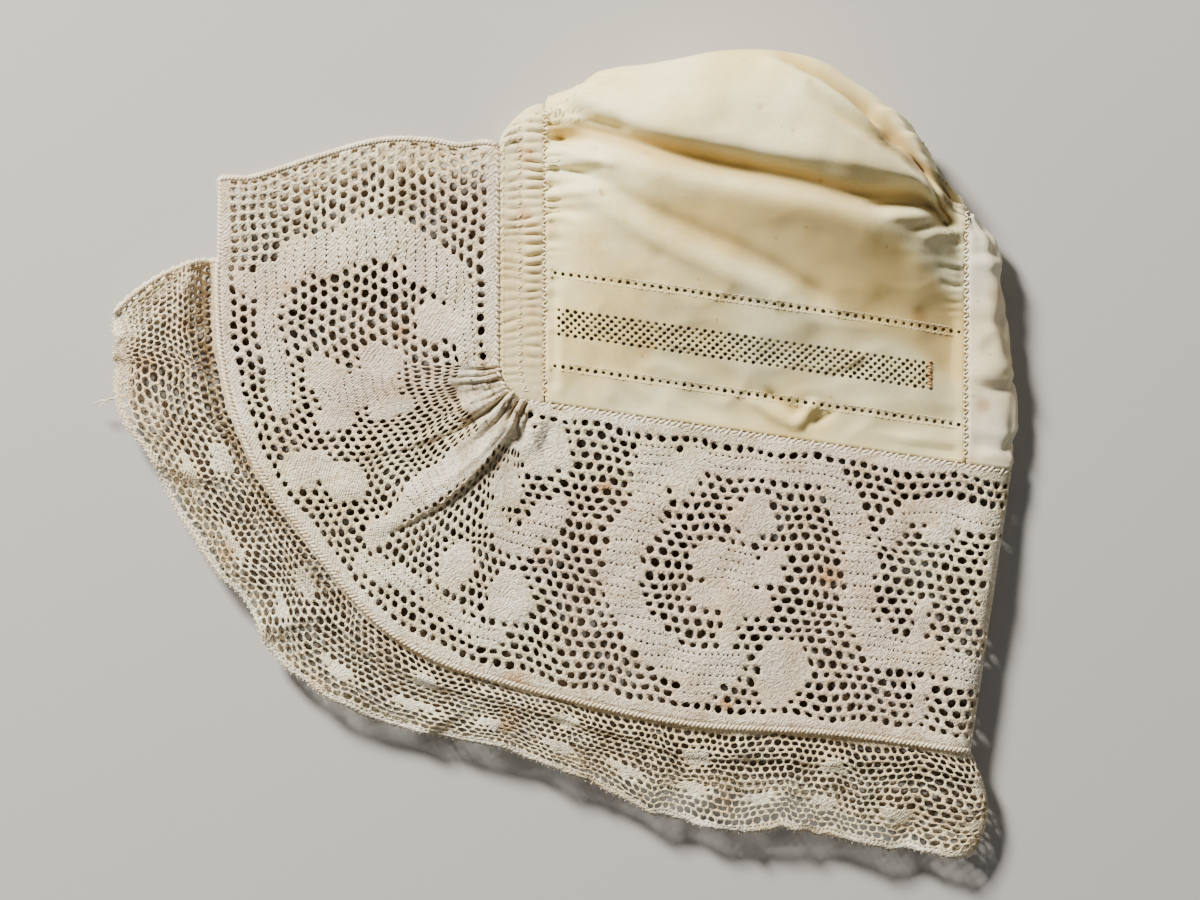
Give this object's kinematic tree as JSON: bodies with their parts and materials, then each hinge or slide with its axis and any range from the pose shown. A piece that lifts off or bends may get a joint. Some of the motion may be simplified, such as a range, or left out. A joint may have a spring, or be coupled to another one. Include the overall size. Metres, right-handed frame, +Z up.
{
  "type": "baby bonnet",
  "caption": "Baby bonnet of cream cotton with a puffed crown, a wide bobbin lace brim and a narrow lace edging, folded flat on its side.",
  "frame": {"origin": "on the ground under the centre of the bonnet's bounding box", "axes": "+Z up off the ground, +Y towards the back of the head, +X towards the fold over the top of the head"},
  "size_m": [0.226, 0.2012, 0.0307],
  "materials": {
    "cream_cotton": "soft cotton cloth",
    "band_cotton": "soft cotton cloth",
    "casing_cotton": "pleated cotton cloth",
    "linen_lace": "bobbin lace of matt thread",
    "edging_lace": "fine net lace"
  },
  "bodies": {
    "root": {"crown": "cream_cotton", "top_band": "band_cotton", "neck_casing": "casing_cotton", "wide_lace": "linen_lace", "lace_edging": "edging_lace"}
  },
  "joints": []
}
